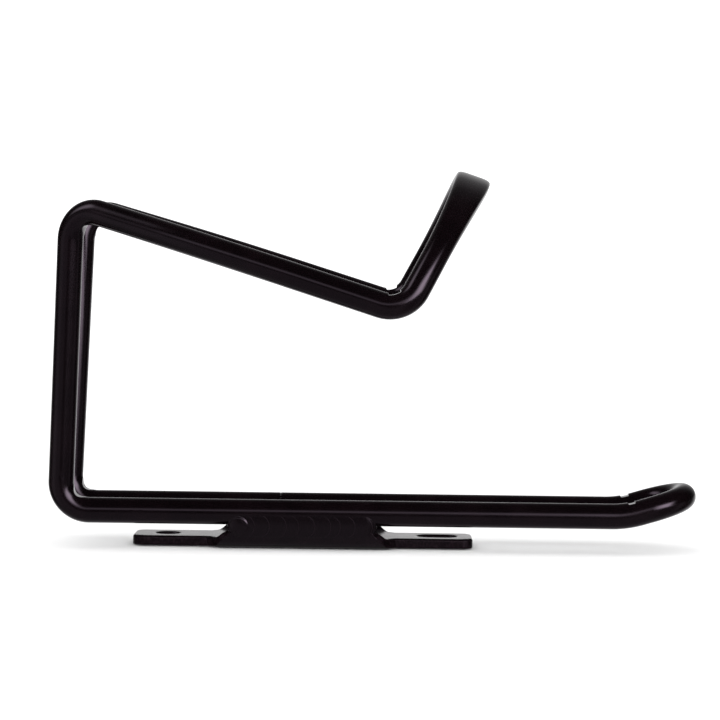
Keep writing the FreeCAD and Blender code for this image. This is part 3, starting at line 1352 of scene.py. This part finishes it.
@dataclass
class WeldBead:
    """One bead between a rail and its wing, laid as overlapping round puddles towards the heel."""

    side: Side
    start_x: float = -17.4
    end_x: float = 17.6
    toe_on_rail: tuple[float, float] = (11.76, 7.9)
    crown: tuple[float, float] = (11.64, 5.35)
    toe_on_wing: tuple[float, float] = (11.05, 2.80)
    root: tuple[float, float] = (10.2, 5.7)
    pitch: float = 3.35
    bulge: float = 2.2
    ripple: float = 0.015
    wander: tuple[float, float] = (0.16, 2.1)
    shiver: tuple[float, float] = (0.07, 5.3)
    dome_rise: float = 0.42
    dome_fall: float = 0.85
    heel_swell: float = 1.6
    valley_edge: tuple[float, float] = (0.02, 0.14)
    blob_radius: float = 2.35
    blob_height: float = 0.24
    blob_inset: float = 0.35
    blob_reach: float = 2.7
    blob_edge: float = 0.86
    blob_fall: float = 0.6
    blob_dimple: float = 0.03
    blob_lift: float = 0.02
    end_round: float = 2.6
    even_share: float = 0.75
    end_share: float = 0.02
    across: int = 40
    along: int = 340

    def _section(self) -> tuple[np.ndarray, np.ndarray]:
        """The bead's face as an arc through both toes and the crown.

        Returns:
            Points of the arc and their outward directions, from the rail down to the wing.
        """
        a, b, c = (np.array(point) for point in (self.toe_on_rail, self.crown, self.toe_on_wing))
        rows = np.array([b - a, c - a]) * 2.0
        centre = np.linalg.solve(rows, np.array([b @ b - a @ a, c @ c - a @ a]))
        radius = np.linalg.norm(a - centre)
        first = math.atan2(*(a - centre)[::-1])
        last = math.atan2(*(c - centre)[::-1])
        turns = np.linspace(first, last, self.across)
        outward = np.stack([np.cos(turns), np.sin(turns)], axis=1)
        return centre + outward * radius, outward

    def _height(self, x: np.ndarray, v: np.ndarray) -> tuple[np.ndarray, np.ndarray]:
        """Height of the ripples above the plain bead.

        Args:
            x: Places along the bead.
            v: Places across it, from -1 at the rail to 1 at the wing.

        Returns:
            The heights, and how deep in a valley each point lies.
        """
        front = self.bulge * np.sqrt(np.clip(1.0 - v * v, 0.0, 1.0))
        phase = (self.end_x - x + front) / self.pitch
        slow = self.wander[0] * np.sin(phase * self.wander[1] + self.side.value)
        phase = phase + slow + self.shiver[0] * np.sin(phase * self.shiver[1])
        share = phase - np.floor(phase)
        dome = smooth(share, 0.0, self.dome_rise) * (1.0 - self.dome_fall * share)
        near_heel = smooth(-v, 0.1, 0.8) * smooth(-x, 6.0, 12.0)
        height = self.ripple * dome * (1.0 - np.abs(v) ** 6) * (1.0 + self.heel_swell * near_heel)
        blob_x = self.start_x + self.blob_radius + self.blob_inset
        off = np.hypot(x - blob_x, v * self.blob_reach) / self.blob_radius
        on_blob = 1.0 - smooth(off, self.blob_edge, 1.0)
        cap = self.blob_height * (1.0 - self.blob_fall * off**2) + self.blob_lift
        cap = cap - self.blob_dimple * (1.0 - smooth(off, 0.0, 0.3))
        height = height * (1.0 - on_blob) + cap * on_blob
        valley = (1.0 - smooth(share, *self.valley_edge)) * (1.0 - on_blob)
        return height, valley

    def build(self, material: bpy.types.Material) -> bpy.types.Object:
        """Makes the bead.

        Args:
            material: Its paint.

        Returns:
            The bead's piece, which stands for its CAD node.
        """
        name = self.side.name.lower()
        face, outward = self._section()
        root = np.array(self.root)
        v = np.linspace(-1.0, 1.0, self.across)
        half = (self.end_x - self.start_x) / 2.0
        middle = (self.end_x + self.start_x) / 2.0
        x = middle - half * np.cos(np.linspace(0.0, math.pi, self.along))
        even = np.linspace(self.start_x, self.end_x, self.along)
        x = (1.0 - self.even_share) * x + self.even_share * even
        grid_x, grid_v = np.meshgrid(x, v, indexing="ij")
        height, valley = self._height(grid_x, grid_v)
        to_end = np.minimum(grid_x - self.start_x, self.end_x - grid_x)
        short = 1.0 - np.clip(to_end / self.end_round, 0.0, 1.0)
        swell = np.sqrt(np.clip(1.0 - short**2, 0.0, 1.0))
        points, valleys = [], []
        for row in range(self.along):
            outer = face + outward * height[row][:, None]
            outer = root + (outer - root) * np.maximum(swell[row], self.end_share)[:, None]
            ring = np.vstack([outer, root])
            sideways = self.side.value * ring[:, 0]
            points.append(np.column_stack([np.full(len(ring), x[row]), sideways, ring[:, 1]]))
            valleys += [*valley[row], 0.0]
        size = self.across + 1
        faces = ring_faces(self.along, size)
        faces.append(tuple(range(size)))
        faces.append(tuple(range((self.along - 1) * size, self.along * size)))
        piece = make_piece(f"weld_{name}", np.concatenate(points), faces, material)
        set_shares(piece, "valley", np.array(valleys))
        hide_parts(f"weld_bead_{name}")
        return piece


# ------------------------------------------------------------------------------------ the studio


@dataclass(frozen=True)
class Glow:
    """A soft patch of light that only the gloss sees, by the direction in which it lies.

    The four edges of each range say where the patch starts, is full, starts to fade and ends.
    """

    level: float
    sideways: tuple[float, float, float, float]
    up: tuple[float, float, float, float]
    back: tuple[float, float]


@dataclass
class Studio:
    """A white paper floor, soft light from all round and the camera."""

    camera_place: tuple[float, float, float] = (0.015977, -0.590, 0.070124)
    camera_pitch: float = math.radians(2.535)
    camera_yaw: float = math.radians(-0.275)
    camera_roll: float = math.radians(0.714)
    lens: float = 124.4
    sensor: float = 36.0
    floor_size: float = 8.0
    floor_drop: float = 0.0002
    shade_depth: float = 0.019
    shade_overhang: float = 0.003
    shade_level: float = 0.10
    white: float = 1.4
    box_aim: tuple[float, float, float] = (0.016, 0.0, 0.04)
    box_azimuth: float = math.radians(30.0)
    box_elevation: float = math.radians(16.0)
    box_distance: float = 1.6
    box_width: float = 1.15
    box_height: float = 0.85
    box_level: float = 0.3
    glows: tuple[Glow, ...] = (
        Glow(0.11, (-3.0, -2.0, -0.95, -0.62), (-3.0, -2.0, 0.15, 0.4), (-0.35, 0.0)),
        Glow(2.6, (0.08, 0.35, 0.7, 0.95), (-0.015, 0.02, 0.05, 0.12), (-0.2, 0.1)),
        Glow(0.7, EVERYWHERE, (0.11, 0.24, 0.33, 0.48), (-0.7, -0.4)),
        Glow(5.0, (0.0, 0.5, 0.65, 0.85), (0.0, 0.14, 0.34, 0.54), (-0.5, -0.2)),
    )
    sky_levels: tuple[tuple[float, float], ...] = (
        (0.0, 0.010),
        (0.66, 0.010),
        (0.82, 0.06),
        (0.93, 0.20),
        (0.985, 0.55),
        (1.0, 1.0),
    )
    ground_levels: tuple[tuple[float, float], ...] = (
        (0.0, 0.03),
        (0.006, 0.04),
        (0.03, 0.17),
        (0.5, 0.17),
        (0.765, 0.34),
        (1.0, 1.0),
    )
    lamp_level: float = 2.2
    lamp_way: tuple[float, float] = (-0.77, 0.64)
    lamp_edge: tuple[float, float] = (0.905, 0.99)

    def build(self) -> None:
        """Sets the whole studio up."""
        self._camera()
        self._floor()
        self._world()
        self._soft_box()
        self._contact_shade()
        bpy.context.scene.view_settings.view_transform = "Standard"
        log.info("studio ready")

    def _camera(self) -> None:
        """Places the camera at its height in front of the cage's right side."""
        yaw, pitch, roll = self.camera_yaw, self.camera_pitch, self.camera_roll
        level_way = Vector((math.sin(yaw), math.cos(yaw), 0.0))
        ahead = level_way * math.cos(pitch) - Vector((0.0, 0.0, math.sin(pitch)))
        level = ahead.cross(Vector((0.0, 0.0, 1.0))).normalized()
        right = level * math.cos(roll) + level.cross(ahead) * math.sin(roll)
        data = bpy.data.cameras.new("camera")
        data.lens = self.lens
        data.sensor_width = self.sensor
        data.clip_start, data.clip_end = 0.01, 20.0
        camera = bpy.data.objects.new("camera", data)
        turn = Matrix((right, right.cross(ahead), -ahead)).transposed()
        camera.matrix_world = Matrix.Translation(Vector(self.camera_place)) @ turn.to_4x4()
        bpy.context.scene.collection.objects.link(camera)
        bpy.context.scene.camera = camera

    def _sheet(
        self, name: str, size: float, parts: int, material: bpy.types.Material
    ) -> bpy.types.Object:
        """Lays a flat square on the stage.

        Args:
            name: Its name.
            size: The length of its sides, in metres.
            parts: How many faces it has along each side.
            material: Its finish.

        Returns:
            The new object.
        """
        shape = bmesh.new()
        bmesh.ops.create_grid(shape, x_segments=parts, y_segments=parts, size=size / 2.0)
        mesh = bpy.data.meshes.new(name)
        shape.to_mesh(mesh)
        shape.free()
        mesh.materials.append(material)
        sheet = bpy.data.objects.new(name, mesh)
        bpy.context.scene.collection.objects.link(sheet)
        return sheet

    def _floor(self) -> None:
        """Lays the paper under the cage."""
        floor = self._sheet("paper_floor", self.floor_size, 8, FloorPaper().material())
        floor.location.z = cad_low.z - self.floor_drop
        floor.visible_glossy = False

    def _contact_shade(self) -> None:
        """Lays the dark of the floor's contact shadow under the bracket, seen by the gloss alone."""
        material, bench = new_material("contact_shade")
        inputs = {"Color": (1.0, 1.0, 1.0, 1.0), "Strength": self.shade_level}
        dark = bench.node("ShaderNodeEmission", None, inputs)
        bench.node("ShaderNodeOutputMaterial", None, {"Surface": dark})
        shade = self._sheet("contact_shade", 1.0, 2, material)
        low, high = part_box("weld_bead_right")
        shade.location = ((low.x + high.x) / 2.0, 0.0, cad_low.z - self.floor_drop / 2.0)
        shade.scale = (high.x - low.x + 2.0 * self.shade_overhang, self.shade_depth, 1.0)
        shade.visible_camera = False
        shade.visible_diffuse = False
        shade.visible_shadow = False

    def _world(self) -> None:
        """Lights the paper evenly, and gives the gloss a bright back and a dark top and front."""
        world = bpy.data.worlds.new("studio")
        bpy.context.scene.world = world
        bench = Bench(world)
        way = bench.node("ShaderNodeTexCoord", None, None, "Generated")
        parts = [bench.node("ShaderNodeSeparateXYZ", None, {0: way}, axis) for axis in "XYZ"]
        sideways, back, up = parts
        depth = back * 0.5 + 0.5
        off_middle = bench.maths("ABSOLUTE", sideways, 0.0)
        ground = 1.0 - 0.45 * sideways.rise(0.1, 0.6) * (1.0 - back.rise(-0.4, 0.0))
        ground = depth.stops(self.ground_levels) * ground
        is_sky = up.rise(-0.03, 0.03)
        narrow = 1.0 - back.rise(-0.1, 0.2) * off_middle.rise(0.5, 0.85) * 0.9
        gloss = (ground * (1.0 - is_sky) + depth.stops(self.sky_levels) * is_sky) * narrow
        for glow in self.glows:
            patch = sideways.between(glow.sideways) * up.between(glow.up)
            gloss = gloss + patch * (1.0 - back.rise(*glow.back)) * glow.level
        towards_lamp = sideways * self.lamp_way[0] + up * self.lamp_way[1]
        lamp = towards_lamp.rise(*self.lamp_edge) * (1.0 - back.rise(-0.2, 0.2))
        gloss = gloss + lamp * self.lamp_level
        is_gloss = bench.node("ShaderNodeLightPath", None, None, "Is Glossy Ray")
        level = is_gloss * gloss + (1.0 - is_gloss) * self.white
        light = bench.node("ShaderNodeBackground", None, {"Color": level, "Strength": 1.0})
        bench.node("ShaderNodeOutputWorld", None, {"Surface": light})

    def _soft_box(self) -> None:
        """Hangs one soft box in front, to the hook's side."""
        data = bpy.data.lights.new("soft_box", "AREA")
        data.shape = "RECTANGLE"
        data.size, data.size_y = self.box_width, self.box_height
        data.energy = self.box_level * math.pi * self.box_width * self.box_height
        box = bpy.data.objects.new("soft_box", data)
        way = Vector((math.sin(self.box_azimuth), -math.cos(self.box_azimuth), 0.0))
        way = way * math.cos(self.box_elevation) + Vector((0.0, 0.0, math.sin(self.box_elevation)))
        box.location = Vector(self.box_aim) + way * self.box_distance
        box.rotation_mode = "QUATERNION"
        box.rotation_quaternion = way.to_track_quat("Z", "Y")
        box.visible_camera = False
        box.visible_diffuse = False
        bpy.context.scene.collection.objects.link(box)


def main() -> None:
    """Builds the studio and the cage's four pieces."""
    logging.basicConfig(level=logging.INFO, format="%(name)s: %(message)s")
    Studio().build()
    pieces = [
        RodLoop().build(RodPaint().material()),
        MountingBracket().build(PlatePaint().material(), ShearedEdgePaint().material()),
    ]
    weld_paint = WeldPaint().material()
    pieces += [WeldBead(side).build(weld_paint) for side in Side]
    for piece in pieces:
        log.info("%s: %d points", piece.name, len(piece.data.vertices))


if __name__ == "__main__":
    main()
